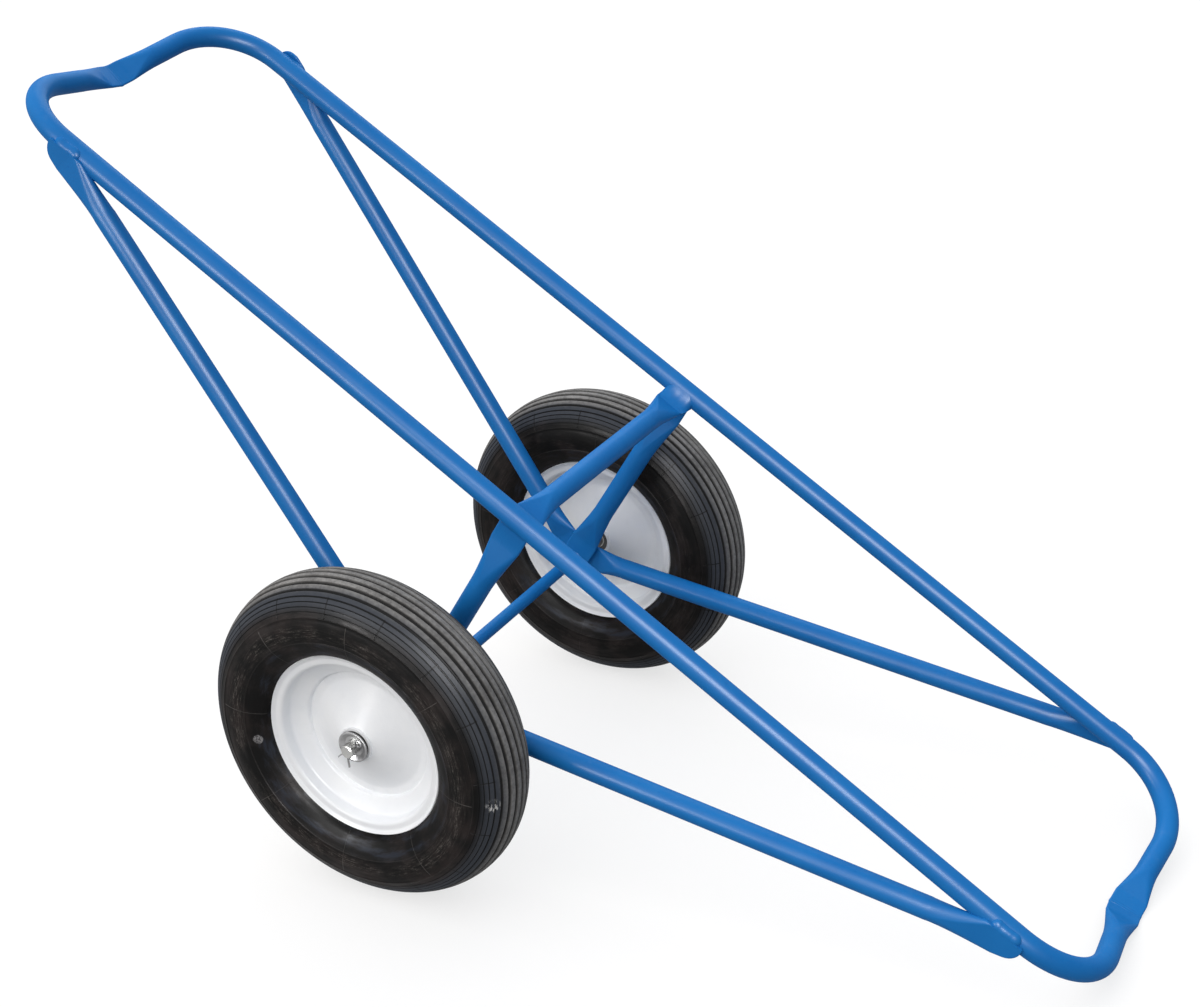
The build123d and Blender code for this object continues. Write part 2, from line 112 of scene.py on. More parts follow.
class Paint:
    def __init__(self, name):
        self.material = bpy.data.materials.new(name)
        self.material.use_nodes = True
        self.tree = self.material.node_tree
        self.shader = self.tree.nodes["Principled BSDF"]
        self.place = Wire(self.tree, self.tree.nodes.new("ShaderNodeTexCoord").outputs["Object"])
        split = self.tree.nodes.new("ShaderNodeSeparateXYZ")
        self.tree.links.new(self.place.socket, split.inputs[0])
        self.x, self.y, self.z = (Wire(self.tree, socket) for socket in split.outputs)

    def attribute(self, name):
        return self.place.add("ShaderNodeAttribute", output=2, attribute_name=name)

    def near(self, point):
        return self.place.vector("SUBTRACT", point).vector("LENGTH", output=1)

    def fromAxle(self):
        return self.x - axlePoint[0], self.z - axlePoint[2]

    def upward(self):
        return self.place.add("ShaderNodeNewGeometry", output=1).part(2)

    def set(self, **values):
        for name, value in values.items():
            socket = self.shader.inputs[name.replace("_", " ")]
            if isinstance(value, Wire):
                self.tree.links.new(value.socket, socket)
            else:
                socket.default_value = value

    def bump(self, height, distance, strength):
        inputs = {"Height": height, "Distance": distance, "Strength": strength}
        self.set(Normal=self.place.add("ShaderNodeBump", inputs))


def shade(red, green, blue):
    return (red, green, blue, 1.0)


# Paints and metals, with each noise as its scale, detail, roughness and stretch
blueLook = {
    "base": shade(0.0085, 0.146, 0.445), "light": shade(0.011, 0.164, 0.475),
    "deep": shade(0.006, 0.122, 0.405), "dust": shade(0.32, 0.38, 0.46), "dusty": 0.05,
    "rough": 0.5, "coat": 0.16, "coatRough": 0.36,
    "cloud": (14.0, 4.0), "fine": (160.0, 3.0), "peel": (420.0, 2.0), "settle": (55.0, 5.0, 0.7),
}


def makeBlue():
    look = blueLook
    paint = Paint("blueEnamel")
    cloud = paint.place.noise(*look["cloud"])
    fine = paint.place.noise(*look["fine"])
    peel = paint.place.noise(*look["peel"])
    settle = paint.place.noise(*look["settle"])
    tone = cloud.between(0.3, 0.72).blend(look["base"], look["light"])
    tone = (fine.between(0.58, 0.8) * 0.5).blend(tone, look["deep"])
    settled = settle.between(0.5, 0.74) * paint.upward().between(0.35, 1.0) * look["dusty"]
    paint.set(Base_Color=settled.blend(tone, look["dust"]), Roughness=look["rough"], Specular_IOR_Level=0.0)
    paint.set(Coat_Weight=look["coat"] - settled, Coat_Roughness=look["coatRough"])
    paint.bump(peel * 0.12 + fine * 0.2 + cloud * 1.5, 0.0004, 0.1)
    return paint.material


axleLook = {
    "zincDark": shade(0.22, 0.22, 0.22), "zincLight": shade(0.5, 0.5, 0.48), "paintEnd": (0.2485, 0.2495),
    "cloud": (18.0, 4.0), "turning": (900.0, 2.0), "scratch": (60.0, 4.0, 0.6, (1.0, 30.0, 1.0)),
}


def makeAxlePaint():
    look = axleLook
    paint = Paint("axleFinish")
    cloud = paint.place.noise(*look["cloud"])
    turning = paint.y.noise(*look["turning"])
    scratch = paint.place.noise(*look["scratch"])
    bare = (paint.y.math("ABSOLUTE") + cloud * 0.006).between(*look["paintEnd"])
    painted = cloud.between(0.3, 0.72).blend(blueLook["base"], blueLook["light"])
    plated = (scratch * 0.6 + turning * 0.4).blend(look["zincDark"], look["zincLight"])
    rough = blueLook["rough"] - bare * 0.3 + scratch * 0.14
    paint.set(Base_Color=bare.blend(painted, plated), Metallic=bare, Roughness=rough, Specular_IOR_Level=0.0)
    paint.set(Coat_Weight=blueLook["coat"] - bare * blueLook["coat"], Coat_Roughness=blueLook["coatRough"])
    paint.bump(scratch + turning * bare, 0.0002, 0.3)
    return paint.material


whiteLook = {
    "dark": shade(0.83, 0.85, 0.88), "light": shade(0.87, 0.885, 0.905), "dirt": shade(0.42, 0.42, 0.4),
    "rough": 0.26, "coat": 0.06, "coatRough": 0.3,
    "cloud": (22.0, 4.0), "peel": (380.0, 2.0), "grime": (70.0, 6.0, 0.7),
}


def makeWhite():
    look = whiteLook
    paint = Paint("whiteEnamel")
    cloud = paint.place.noise(*look["cloud"])
    peel = paint.place.noise(*look["peel"])
    grime = paint.place.noise(*look["grime"])
    dirt = paint.attribute("hollow") * grime.between(0.5, 0.8) * 0.2 + grime.between(0.68, 0.86) * 0.08
    tone = cloud.between(0.3, 0.7).blend(look["dark"], look["light"])
    paint.set(Base_Color=dirt.blend(tone, look["dirt"]), Roughness=look["rough"] + cloud * 0.12 + dirt * 0.4)
    paint.set(Specular_IOR_Level=0.04, Coat_Weight=look["coat"], Coat_Roughness=look["coatRough"])
    paint.bump(peel * 0.7 + cloud + grime * 0.4, 0.0004, 0.3)
    return paint.material


zincLook = {
    "dark": shade(0.15, 0.15, 0.155), "light": shade(0.25, 0.25, 0.25), "stain": shade(0.1, 0.095, 0.09),
    "metal": 0.95, "rough": 0.3, "cloud": (90.0, 5.0), "grain": (700.0, 3.0), "blotch": (240.0, 4.0, 0.7),
}


def makeZinc():
    look = zincLook
    paint = Paint("zincPlate")
    cloud = paint.place.noise(*look["cloud"])
    grain = paint.place.noise(*look["grain"])
    blotch = paint.place.noise(*look["blotch"])
    tone = cloud.between(0.3, 0.7).blend(look["dark"], look["light"])
    tone = (blotch.between(0.56, 0.76) * 0.5).blend(tone, look["stain"])
    paint.set(Base_Color=tone, Metallic=look["metal"], Roughness=look["rough"] + cloud * 0.14 + blotch * 0.12)
    paint.bump(grain + blotch * 1.5, 0.0002, 0.4)
    return paint.material


bearingLook = {
    "dark": shade(0.35, 0.35, 0.34), "light": shade(0.58, 0.57, 0.55), "metal": 0.9, "rough": 0.3,
    "sealDark": shade(0.012, 0.012, 0.012), "sealLight": shade(0.045, 0.04, 0.034),
    "seal": (0.01425, 0.0028, 0.0003), "cloud": (200.0, 4.0), "grease": (420.0, 4.0, 0.7),
}


def makeBearing():
    look = bearingLook
    paint = Paint("bearingSteel")
    dx, dz = paint.fromAxle()
    seal = (dx * dx + dz * dz).math("SQRT").band(*look["seal"])
    cloud = paint.place.noise(*look["cloud"])
    grease = paint.place.noise(*look["grease"])
    steel = cloud.between(0.3, 0.7).blend(look["dark"], look["light"])
    black = grease.between(0.4, 0.75).blend(look["sealDark"], look["sealLight"])
    paint.set(Base_Color=seal.blend(steel, black), Metallic=look["metal"] - seal * look["metal"])
    paint.set(Roughness=look["rough"] + seal * 0.3 + cloud * 0.1)
    paint.bump(grease + cloud, 0.0002, 0.4)
    return paint.material


plainLooks = {
    "stemRubber": {
        "dark": shade(0.01, 0.01, 0.01), "light": shade(0.03, 0.029, 0.028), "rough": 0.5,
        "cloud": (60.0, 4.0), "fine": (300.0, 4.0, 0.65),
    },
    "capPlastic": {
        "dark": shade(0.008, 0.008, 0.008), "light": shade(0.02, 0.02, 0.02), "rough": 0.4,
        "cloud": (60.0, 4.0), "fine": (500.0, 4.0, 0.65),
    },
}


def makePlain(name):
    look = plainLooks[name]
    paint = Paint(name)
    cloud = paint.place.noise(*look["cloud"])
    fine = paint.place.noise(*look["fine"])
    tone = (cloud * 0.6 + fine * 0.4).between(0.35, 0.7).blend(look["dark"], look["light"])
    paint.set(Base_Color=tone, Roughness=look["rough"] + cloud * 0.12 + fine * 0.1)
    paint.bump(fine + cloud, 0.0003, 0.4)
    return paint.material


tyreLook = {
    "rib": shade(0.25, 0.243, 0.237), "ribDark": shade(0.119, 0.1145, 0.111),
    # the shoulder colour is clean rubber with a painted bluish sheen laid into it
    "groove": shade(0.003, 0.003, 0.003), "shoulder": shade(0.0265, 0.0325, 0.0445),
    "wall": shade(0.0022, 0.002, 0.002),
    # the bluish wall colour is a painted sheen near the bead
    "wallBrown": shade(0.0175, 0.0128, 0.012), "wallPaintedSheen": shade(0.0115, 0.0155, 0.026),
    "dust": shade(0.12, 0.11, 0.1), "mould": shade(0.14, 0.13, 0.12),
    "wallLines": 8, "wallPhase": 0.702, "shoulderLines": 16, "shoulderPhase": 0.455, "innerWall": 0.2,
    "dot": (-0.2865, -0.3188, 0.1868), "dotTone": shade(0.24, 0.235, 0.24),
    "scuff": (0.0238, -0.3098, 0.1729), "scuffTone": shade(0.62, 0.61, 0.6),
    "cloud": (26.0, 5.0), "fine": (190.0, 5.0, 0.65), "grit": (520.0, 3.0, 0.6), "smear": (2.6, 6.0, 0.62),
    "streaks": (11.0, 5.0, 0.7), "rub": (150.0, 3.0, 0.6, (1.0, 4.0, 1.0)),
}


def makeTyre(name, side):
    look = tyreLook
    paint = Paint(name)
    across = paint.attribute("section")            # degrees from the crown
    sunk = paint.attribute("groove")
    dx, dz = paint.fromAxle()
    turn = dz.math("ARCTAN2", dx) * (1 / (2 * pi)) + 0.5
    away = across.math("ABSOLUTE")
    outer = (across * side).between(-5.0, 5.0)
    outside = look["innerWall"] + outer * (1 - look["innerWall"])      # the inner wall is cleaner
    tread = 1.0 - away.between(48.0, 66.0)

    cloud = paint.place.noise(*look["cloud"])
    fine = paint.place.noise(*look["fine"])
    grit = paint.place.noise(*look["grit"])
    circle = {0: (turn * 2 * pi).math("COSINE"), 1: (turn * 2 * pi).math("SINE")}
    smear = paint.place.add("ShaderNodeCombineXYZ", {**circle, 2: across * 0.03}).noise(*look["smear"])
    streaks = paint.place.add("ShaderNodeCombineXYZ", {**circle, 2: across * 0.06}).noise(*look["streaks"])

    lines = (turn * look["wallLines"] + look["wallPhase"]).math("FRACT").band(0.5, 0.0018, 0.0026)
    lines = lines * (away.band(83.0, 9.0, 4.0) * 0.55 + away.band(103.0, 28.0, 4.0) * 0.45) * outside
    marks = (turn * look["shoulderLines"] + look["shoulderPhase"]).math("FRACT").band(0.5, 0.007, 0.006)
    marks = marks * away.band(55.0, 12.0, 3.0)
    ring = away.band(104.0, 0.5, 0.5) + away.band(70.0, 0.35, 0.4) * 0.7

    wall = (cloud * 0.6 + smear * 0.4).between(0.42, 0.66).blend(look["wall"], look["wallBrown"])
    dust = streaks.between(0.46, 0.7) * (0.3 + grit.between(0.42, 0.66) * 0.7)
    dust = dust * (away.band(91.0, 2.0, 12.0) + 0.06) * cloud.between(0.34, 0.58) * outside * 1.05
    # shine is glossy rubber: it raises the coat and marks where a bluish sheen is painted near the bead
    shine = smear.between(0.48, 0.7) * (1.0 - tread) * (1.0 - dust)
    wall = (shine * away.between(100.0, 114.0)).blend(wall, look["wallPaintedSheen"])
    wall = dust.blend(wall, look["dust"])
    wall = (lines * 0.45 + ring * 0.08).blend(wall, look["mould"])

    rib = (fine * 0.55 + cloud * 0.45).between(0.32, 0.68).blend(look["ribDark"], look["rib"])
    rib = (grit.between(0.6, 0.8) * 0.3).blend(rib, look["dust"])
    cleanAndPaintedSheen = (away + (cloud - 0.5) * 14.0).between(22.0, 40.0)      # dust stays on the crown
    # away from the crown the rubber is clean and carries a painted bluish sheen
    rib = (cleanAndPaintedSheen * 0.92).blend(rib, look["shoulder"])

    tone = tread.blend(wall, rib)
    tone = (sunk.math("POWER", 0.5) * 0.94).blend(tone, look["groove"])
    tone = (marks * 0.75).blend(tone, look["groove"])
    spot = (paint.near(look["dot"]) + (fine - 0.5) * 0.004).band(0.0, 0.0052, 0.001)
    tone = (spot * (0.25 + grit.between(0.4, 0.62) * 0.7)).blend(tone, look["dotTone"])
    rub = paint.place.noise(*look["rub"]).between(0.5, 0.6)
    rub = (1.0 - paint.near(look["scuff"]).between(0.004, 0.011)) * rub
    tone = (rub * 0.9).blend(tone, look["scuffTone"])
    paint.set(Base_Color=tone, Roughness=0.42 + tread * 0.26 + cloud * 0.12 + dust * 0.3 + sunk * 0.1)
    paint.set(Specular_IOR_Level=0.05, Coat_Weight=shine * 0.09 + tread * 0.05, Coat_Roughness=0.34)
    paint.bump(grit * 0.35 + fine * 0.5 + lines * 2.4 - marks * 3.0 + ring * 1.6, 0.0005, 0.6)
    return paint.material


blue = makeBlue()
white = makeWhite()
zinc = makeZinc()
bearingSteel = makeBearing()
stemRubber = makePlain("stemRubber")
capPlastic = makePlain("capPlastic")
axlePaint = makeAxlePaint()
print("materials made")


# Mesh helpers
def addPiece(bm, name, material, body, replaced, sharp=35.0):
    bmesh.ops.recalc_face_normals(bm, faces=bm.faces)
    bmesh.ops.transform(bm, matrix=toMetres, verts=bm.verts)
    for face in bm.faces:
        face.smooth = True
    mesh = bpy.data.meshes.new(name)
    bm.to_mesh(mesh)
    bm.free()
    mesh.set_sharp_from_angle(angle=radians(sharp))
    mesh.materials.append(material)
    obj = bpy.data.objects.new(name, mesh)
    bpy.context.scene.collection.objects.link(obj)
    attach(obj, body)
    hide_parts(*replaced)


def drawn(rings, bm=None):
    bm = bm or bmesh.new()
    spot = bm.verts.layers.int.new("spot")          # place of a vertex in its ring
    verts = [bm.verts.new(point) for point in rings[0]]
    for k, vert in enumerate(verts):
        vert[spot] = k
    first = [bm.edges.new(pair) for pair in zip(verts, verts[1:] + verts[:1])]
    edges = first
    for ring in rings[1:]:
        grown = bmesh.ops.extrude_edge_only(bm, edges=edges)["geom"]
        for item in grown:
            if isinstance(item, bmesh.types.BMVert):
                item.co = ring[item[spot]]
        edges = [item for item in grown if isinstance(item, bmesh.types.BMEdge) and item.is_boundary]
    for end in (first, edges):
        bmesh.ops.contextual_create(bm, geom=end)
    bm.verts.layers.int.remove(bm.verts.layers.int["spot"])
    return bm


def otherSide(bm):
    bmesh.ops.scale(bm, vec=(1, -1, 1), verts=bm.verts)
    return bm


def bothSides(bm):
    bmesh.ops.mirror(bm, geom=bm.verts[:] + bm.edges[:] + bm.faces[:], axis="Y", merge_dist=0.0)
    return bm


def turned(profile, middle, around, closed, values):
    bm = bmesh.new()
    layers = [(bm.verts.layers.float.new(name), numbers) for name, numbers in values.items()]
    verts = [bm.verts.new((radius, middle + s, 0)) for radius, s in profile]
    for layer, numbers in layers:
        for vert, number in zip(verts, numbers):
            vert[layer] = number
    edges = [bm.edges.new(pair) for pair in zip(verts, verts[1:] + verts[: 1 if closed else 0])]
    spun = {"cent": (0, 0, 0), "axis": (0, 1, 0), "angle": 2 * pi, "steps": around, "use_merge": True}
    bmesh.ops.spin(bm, geom=verts + edges, **spun)
    return bm


def steps(count, first=0.0, last=1.0):
    return [first + (last - first) * k / count for k in range(count + 1)]


# Frame tube
tube = {
    "od": 25.4, "wall": 1.65, "crease": 0.16, "pressEase": (0.3, 1.2, -0.5),
    "around": 88, "bowCuts": 40, "pressCuts": 20, "tipCuts": 8, "tipTurn": 88.0,
}
flat = {"thick": 2 * tube["wall"]}
flat["width"] = pi * (tube["od"] - flat["thick"]) / 2 + flat["thick"]
flat["half"] = flat["width"] / 2


def squeezed(height, width=None, crease=tube["crease"]):
    half = height / 2
    run = (width - height) / 2 if width is not None else pi * (tube["od"] - height) / 4
    run = max(run, 0.0)
    pressed = (tube["od"] - height) / (tube["od"] - flat["thick"])
    bulge = 1 + crease * 4 * pressed * (1 - pressed) if 0 < pressed < 1 else 1.0
    start = asin(1 / bulge)
    sweep = steps(tube["bowCuts"], -start, start)
    bow = [(run + half * (cos(a) - cos(start)) / (1 - cos(start)), half * sin(a) * bulge) for a in sweep]
    outline = bow + [(-u, -v) for u, v in bow]
    outline.append(outline[0])
    lengths = [0.0]
    for (u0, v0), (u1, v1) in zip(outline, outline[1:]):
        lengths.append(lengths[-1] + sqrt((u1 - u0) ** 2 + (v1 - v0) ** 2))
    points, k = [], 0
    for i in range(tube["around"]):
        s = lengths[-1] * (i + 0.5) / tube["around"]
        while lengths[k + 1] < s:
            k += 1
        t = (s - lengths[k]) / (lengths[k + 1] - lengths[k])
        points.append(tuple(outline[k][d] + (outline[k + 1][d] - outline[k][d]) * t for d in (0, 1)))
    return points


def ringAt(centre, across, normal, height, width=None, crease=tube["crease"]):
    return [centre + across * u + normal * v for u, v in squeezed(height, width, crease)]


def pressEase(t):
    first, second, third = tube["pressEase"]
    return first * t + second * t**2 + third * t**3


def pressHeight(t):
    return tube["od"] + (flat["thick"] - tube["od"]) * pressEase(t)


def pressWidth(t, width):
    return tube["od"] + (width - tube["od"]) * pressEase(t)


def roundedEnd():
    turns = steps(tube["tipCuts"], 0.0, radians(tube["tipTurn"]))
    return [(flat["half"] * sin(a), flat["width"] * cos(a)) for a in turns]


railSizes = {
    "gauge": 386.6, "rise": 312.0, "half": 759.0, "corner": 89.0, "dip": 35.0, "flat": 19.0, "run": 44.0,
    "tilt": 12.0, "frontWidth": 32.0, "crease": 0.03,
    "sideCuts": 10, "bendCuts": 24, "leadCuts": 4, "flatCuts": 4,
}
railY = railSizes["gauge"] / 2


def barWidth(side):
    return railSizes["frontWidth"] if side < 0 else flat["width"]


def railRings():
    slope = atan2(railSizes["dip"], railY)
    down = Vector((0, -cos(slope), -sin(slope)))
    normal = Vector((0, -sin(slope), cos(slope)))
    length = railY / cos(slope)
    radius = railSizes["corner"]
    run = railSizes["run"]
    roundEnd = length - railSizes["flat"] - run
    halves = []
    for side in (-1, 1):
        back = Vector((-side, 0, 0))
        corner = Vector((side * railSizes["half"], railY, railSizes["rise"]))
        hub = corner + (back + down) * radius
        width = barWidth(side)
        stations = []
        for t in steps(railSizes["sideCuts"]):
            point = Vector((side * (railSizes["half"] - radius) * t, railY, railSizes["rise"]))
            stations.append((point, -back, tube["od"], None, 0.0))
        for a in steps(railSizes["bendCuts"], 0.0, pi / 2)[1:]:
            point = hub - (down * cos(a) + back * sin(a)) * radius
            stations.append((point, down * sin(a) - back * cos(a), tube["od"], None, 0.0))
        for t in steps(railSizes["leadCuts"])[1:]:
            point = corner + down * (radius + (roundEnd - radius) * t)
            stations.append((point, down, tube["od"], None, t * railSizes["tilt"]))
        for t in steps(tube["pressCuts"])[1:]:
            point = corner + down * (roundEnd + run * t)
            stations.append((point, down, pressHeight(t), pressWidth(t, width), railSizes["tilt"]))
        for d in steps(railSizes["flatCuts"], length - railSizes["flat"], length)[1:]:
            stations.append((corner + down * d, down, flat["thick"], width, railSizes["tilt"]))
        halves.append(stations)
    path = [(point, -along, *rest) for point, along, *rest in reversed(halves[0])] + halves[1][1:]
    rings = []
    for point, along, height, width, tilt in path:
        across = normal.cross(along)
        leaned = across * cos(radians(tilt)) + normal * sin(radians(tilt))
        rings.append(ringAt(point, leaned, along.cross(leaned), height, width, railSizes["crease"]))
    for end in (rings[0], rings[-1]):              # cut square at the middle of the bar
        for k, point in enumerate(end):
            end[k] = point - down * (point.y / down.y)
    return rings


braceSizes = {
    "splay": 203.5, "aim": 6.0, "headX": 658.0, "headDrop": 4.0, "headTop": 3.0, "farTop": 14.0,
    "headFlat": 12.0, "headRun": 72.0, "footFlat": 30.0, "footRun": 40.0, "flatCuts": 4, "roundCuts": 8,
}
hoopSizes = {
    "gauge": 376.0, "fold": 6.0, "legFlat": 26.0, "legRun": 66.0, "barFlat": 18.0, "barRun": 48.0,
    "footFlat": 34.0, "footRun": 60.0, "footCuts": 4, "legCuts": 5, "flatCuts": 3, "foldCuts": 8, "barCuts": 4,
}
legY = hoopSizes["gauge"] / 2
headY = railY + tube["od"] / 2 + flat["thick"] / 2


def braceRings(side, footY, headTop):
    foot = Vector((0, 0, braceSizes["aim"]))
    head = Vector((side * braceSizes["headX"], 0, railSizes["rise"] - braceSizes["headDrop"]))
    up = (head - foot).normalized()
    across = Vector((-up.z, 0, up.x))
    normal = up.cross(across)
    length = (head - foot).length
    footEnd = braceSizes["footFlat"] + braceSizes["footRun"]
    headEnd = length - braceSizes["headFlat"]
    headStart = headEnd - braceSizes["headRun"]
    slope = (braceSizes["splay"] - footY) / (headEnd - braceSizes["footFlat"])
    stations = []
    for d, width in reversed(roundedEnd()):
        stations.append((-d, footY, flat["thick"], width))
    for d in steps(braceSizes["flatCuts"], 0.0, braceSizes["footFlat"])[1:]:
        stations.append((d, footY, flat["thick"], None))
    for t in steps(tube["pressCuts"], 1.0, 0.0)[1:]:
        place = footEnd - braceSizes["footRun"] * t
        stations.append((place, footY + slope * (place - braceSizes["footFlat"]), pressHeight(t), None))
    for d in steps(braceSizes["roundCuts"], footEnd, headStart)[1:]:
        stations.append((d, footY + slope * (d - braceSizes["footFlat"]), tube["od"], None))
    for t in steps(tube["pressCuts"])[1:]:
        place = headStart + braceSizes["headRun"] * t
        shift = (headY - braceSizes["splay"]) * pressEase(t)
        stations.append((place, braceSizes["splay"] - slope * (headEnd - place) + shift, pressHeight(t), None))
    for d in steps(braceSizes["flatCuts"], headEnd, length)[1:]:
        stations.append((d, headY, flat["thick"], None))
    for d, width in roundedEnd()[1:]:
        stations.append((length + d, headY, flat["thick"], width))
    rings = []
    for d, y, height, width in stations:
        ring = ringAt(foot + up * d + Vector((0, y, 0)), across, normal, height, width)
        if d > headStart:                          # the head is cut off just above the rail
            ring = [Vector((p.x, p.y, min(p.z, railSizes["rise"] + headTop))) for p in ring]
        rings.append(ring)
    return rings


foldOut = hoopSizes["fold"] + flat["thick"] / 2
foldIn = railY - legY + hoopSizes["fold"]
hoopTop = railSizes["rise"] + hoopSizes["fold"] - sqrt((tube["od"] / 2 + foldOut) ** 2 - foldIn**2)


def hoopRings():
    wide, up, inward = Vector((1, 0, 0)), Vector((0, 0, 1)), Vector((0, -1, 0))
    legTop = hoopTop - hoopSizes["fold"]
    legHigh = legTop - hoopSizes["legFlat"] - hoopSizes["legRun"]
    legLow = hoopSizes["footFlat"] + hoopSizes["footRun"]
    barFlatEnd = legY - hoopSizes["fold"] - hoopSizes["barFlat"]
    barEnd = barFlatEnd - hoopSizes["barRun"]
    stations = []
    for d, width in reversed(roundedEnd()):
        stations.append((Vector((0, legY, -d)), up, flat["thick"], width))
    for z in steps(hoopSizes["footCuts"], 0.0, hoopSizes["footFlat"])[1:]:
        stations.append((Vector((0, legY, z)), up, flat["thick"], None))
    for t in steps(tube["pressCuts"], 1.0, 0.0)[1:]:
        stations.append((Vector((0, legY, legLow - hoopSizes["footRun"] * t)), up, pressHeight(t), None))
    for z in steps(hoopSizes["legCuts"], legLow, legHigh)[1:]:
        stations.append((Vector((0, legY, z)), up, tube["od"], None))
    for t in steps(tube["pressCuts"])[1:]:
        stations.append((Vector((0, legY, legHigh + hoopSizes["legRun"] * t)), up, pressHeight(t), None))
    for z in steps(hoopSizes["flatCuts"], legTop - hoopSizes["legFlat"], legTop)[1:]:
        stations.append((Vector((0, legY, z)), up, flat["thick"], None))
    for a in steps(hoopSizes["foldCuts"], 0.0, pi / 2)[1:]:
        fold = Vector((0, legY - hoopSizes["fold"] * (1 - cos(a)), legTop + hoopSizes["fold"] * sin(a)))
        stations.append((fold, up * cos(a) + inward * sin(a), flat["thick"], None))
    for y in steps(hoopSizes["flatCuts"], legY - hoopSizes["fold"], barFlatEnd)[1:]:
        stations.append((Vector((0, y, hoopTop)), inward, flat["thick"], None))
    for t in steps(tube["pressCuts"], 1.0, 0.0)[1:]:
        stations.append((Vector((0, barEnd + hoopSizes["barRun"] * t, hoopTop)), inward, pressHeight(t), None))
    for y in steps(hoopSizes["barCuts"], barEnd, 0.0)[1:]:
        stations.append((Vector((0, y, hoopTop)), inward, tube["od"], None))
    other = []
    for point, along, height, width in reversed(stations[:-1]):
        other.append((Vector((0, -point.y, point.z)), Vector((0, along.y, -along.z)), height, width))
    return [ringAt(p, wide, along.cross(wide), height, width) for p, along, height, width in stations + other]


addPiece(drawn(railRings()), "railRight", blue, "frame", ["side_rail_right"])
addPiece(otherSide(drawn(railRings())), "railLeft", blue, "frame", ["side_rail_left"])
for end, side, footY in (("front", -1, legY + flat["thick"]), ("rear", 1, legY + 2 * flat["thick"])):
    near = otherSide(drawn(braceRings(side, footY, braceSizes["headTop"])))
    far = drawn(braceRings(side, footY, braceSizes["farTop" if side < 0 else "headTop"]))
    addPiece(far, end + "BraceRight", blue, "frame", [f"{end}_right_brace"])
    addPiece(near, end + "BraceLeft", blue, "frame", [f"{end}_left_brace"])
addPiece(drawn(hoopRings()), "centerHoop", blue, "frame", ["center_hoop"])
print("frame tubes made")


# Welds, as rippled beads
beadLook = {
    "brace": 7.2, "braceBack": 24.0, "braceAhead": 14.0, "braceSeed": 1.7, "hoop": 4.0, "hoopSeed": 1.6,
    "pitch": 6.5, "ripple": 0.004, "bow": 1.3, "sway": (0.9, 0.4), "endRound": 1.3, "endLeast": 0.02,
    "wander": ((0.03, 0.16, 1), (0.012, 0.47, 2)),              # share of the radius, pace, share of the seed
    "lumps": ((0.02, 0.31, 2, 1), (0.02, 0.17, -1, 3)),         # the same, with the turns round the bead third
    "step": 0.6, "around": 20, "sharp": 80.0,
}


def beadRings(start, end, radius, seed):
    along = end - start
    length = along.length
    along.normalize()
    side = along.cross(Vector((0, 0, 1))).normalized()
    up = side.cross(along)
    sway, swayPace = beadLook["sway"]
    rings = []
    for s in steps(ceil(length / beadLook["step"]), 0.0, length):
        edge = min(s, length - s) / (beadLook["endRound"] * radius)
        swell = sqrt(max(1 - max(1 - edge, 0.0) ** 2, beadLook["endLeast"]))
        wander = 0.0
        for size, pace, share in beadLook["wander"]:
            wander += size * radius * sin(pace * s + share * seed)
        ring = []
        for i in range(beadLook["around"]):
            a = 2 * pi * i / beadLook["around"]
            bend = beadLook["bow"] * cos(a) + sway * sin(seed + swayPace * s)
            wave = sin(2 * pi * s / beadLook["pitch"] + bend)
            lump = 0.0
            for size, pace, turns, share in beadLook["lumps"]:
                lump += size * sin(pace * s + turns * a + share * seed)
            r = radius * swell * (1 + beadLook["ripple"] * wave + lump)
            ring.append(start + along * s + side * (cos(a) * r) + up * (sin(a) * r + wander * swell))
        rings.append(ring)
    return rings


beads = bmesh.new()
for side in (-1, 1):
    y = headY + flat["thick"] / 2 - beadLook["brace"]
    z = railSizes["rise"] + braceSizes["headTop"]
    start = Vector((side * (braceSizes["headX"] - beadLook["braceBack"]), y, z))
    end = Vector((side * (braceSizes["headX"] + beadLook["braceAhead"]), y, z))
    drawn(beadRings(start, end, beadLook["brace"], beadLook["braceSeed"] + side), beads)
addPiece(bothSides(beads), "braceBeads", blue, "frame", ["brace_welds"], beadLook["sharp"])

rampLook = {
    "start": -19.0, "end": 22.0, "foot": 16.0, "climb": 152.0, "blunt": 5, "clear": 0.1, "tuck": (1.5, 1.0),
    "lump": 0.084, "lumps": ((1.0, 0.31, 5, 0.0), (0.6, 0.67, -4, 1.0)),
    "underRail": (4.0, 2.0), "underBar": (8.0, 1.0), "cuts": 60, "acrossCuts": 16,
}


def rampRings():
    look = rampLook
    top = hoopTop + flat["thick"] / 2
    radius = tube["od"] / 2
    out = radius + look["clear"]
    climb = radians(look["climb"])
    corner = Vector((0, railY - radius + look["tuck"][0], top + look["tuck"][1]))
    high = Vector((0, railY + out * cos(climb), railSizes["rise"] + out * sin(climb)))
    slide = Vector((0, -sin(climb), cos(climb)))
    bend = high + slide * ((high.z - top - look["clear"]) / -slide.z)
    low = bend - Vector((0, look["foot"], 0))
    rings = []
    for t in steps(look["cuts"]):
        x = look["start"] + (look["end"] - look["start"]) * t
        grow = sqrt(max(1 - abs(2 * t - 1) ** look["blunt"], 0.0))
        ring = []
        for u in steps(look["acrossCuts"]):
            waves = 0.0
            for size, pace, turns, shift in look["lumps"]:
                waves += size * sin(pace * x + turns * u + shift)
            lump = look["lump"] * waves * sin(pi * u)
            point = low * (1 - u) ** 2 + bend * (2 * u * (1 - u)) + high * u**2 + Vector((0, -lump, lump))
            ring.append(corner.lerp(point, grow) + Vector((x, 0, 0)))
        ring.append(Vector((x, railY - look["underRail"][0], railSizes["rise"] - look["underRail"][1])))
        ring.append(Vector((x, railY - look["underBar"][0], top - look["underBar"][1])))
        rings.append(ring)
    return rings


